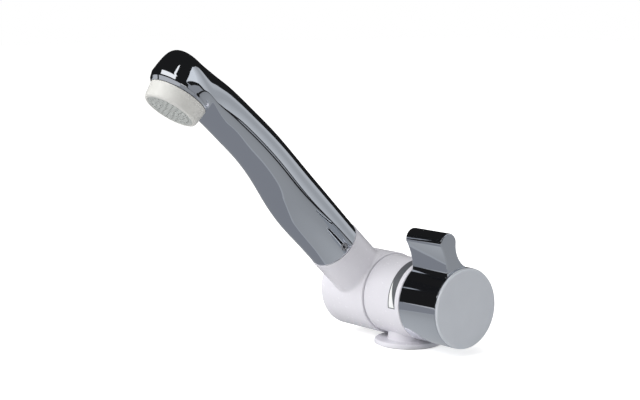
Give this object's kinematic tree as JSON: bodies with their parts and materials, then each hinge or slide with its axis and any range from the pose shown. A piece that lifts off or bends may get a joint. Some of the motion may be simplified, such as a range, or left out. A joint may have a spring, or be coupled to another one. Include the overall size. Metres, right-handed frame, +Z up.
{
  "type": "folding single lever mixer tap",
  "caption": "Folding single lever mixer tap: white barrel on a round foot, plated spout on a swivelling elbow with a spray outlet, and a sleeve lever with a finger tab.",
  "frame": {"origin": "centre of the foot on the worktop face, on the shank axis", "axes": "+Z up out of the worktop, +X along the barrel towards the lever, -Y the front, where the spout reaches"},
  "size_m": [0.0945, 0.1671, 0.2353],
  "materials": {
    "white_shell": "smooth gloss, faintly cool white",
    "bright_plate": "bright mirror plating",
    "satin_plate": "satin plated",
    "scale_print": "satin grey print",
    "pointer_white": "smooth",
    "ivory_plastic": "satin ivory",
    "grey_plastic": "moulded",
    "bearing_plastic": "moulded",
    "valve_brass": "machined",
    "pipe_copper": "drawn copper",
    "fastener_steel": "machined stainless",
    "disc_ceramic": "lapped ceramic",
    "seal_rubber": "moulded"
  },
  "bodies": {
    "tap_body": {"body_shell": "white_shell", "indicator_scale": "scale_print", "indicator_wedge": "pointer_white", "valve_body": "valve_brass", "deck_seal": "seal_rubber", "clamp_gasket": "seal_rubber", "clamp_washer": "fastener_steel", "mounting_nut": "valve_brass", "cold_inlet_tail": "pipe_copper", "hot_inlet_tail": "pipe_copper", "pivot_o_rings": "seal_rubber", "thrust_ring": "bearing_plastic", "pivot_washer": "fastener_steel", "pivot_screw": "fastener_steel", "cartridge_seal": "seal_rubber", "fixed_disc": "disc_ceramic", "cartridge_housing": "grey_plastic", "cartridge_nut": "valve_brass"},
    "spout_carrier": {"carrier_shell": "white_shell", "swivel_block": "grey_plastic", "pivot_cap": "white_shell", "spout_tube": "bright_plate", "spout_o_ring": "seal_rubber", "grub_screw": "fastener_steel", "aerator_cup": "ivory_plastic", "aerator_grid": "grey_plastic", "aerator_screen": "grey_plastic", "aerator_seal": "seal_rubber"},
    "lever": {"lever_sleeve": "bright_plate", "end_cap": "satin_plate", "handle_adapter": "grey_plastic", "lever_screw": "fastener_steel", "spindle": "valve_brass", "moving_disc": "disc_ceramic"}
  },
  "joints": [
    {"name": "spout_fold", "type": "hinge", "parent": "tap_body", "child": "spout_carrier", "pos_m": [0, 0, 0.0255], "axis": [1, 0, 0], "range_deg": [0, 43]},
    {"name": "lever_turn", "type": "hinge", "parent": "tap_body", "child": "lever", "pos_m": [0, 0, 0.0255], "axis": [1, 0, 0], "range_deg": [-17.5, 80]}
  ]
}
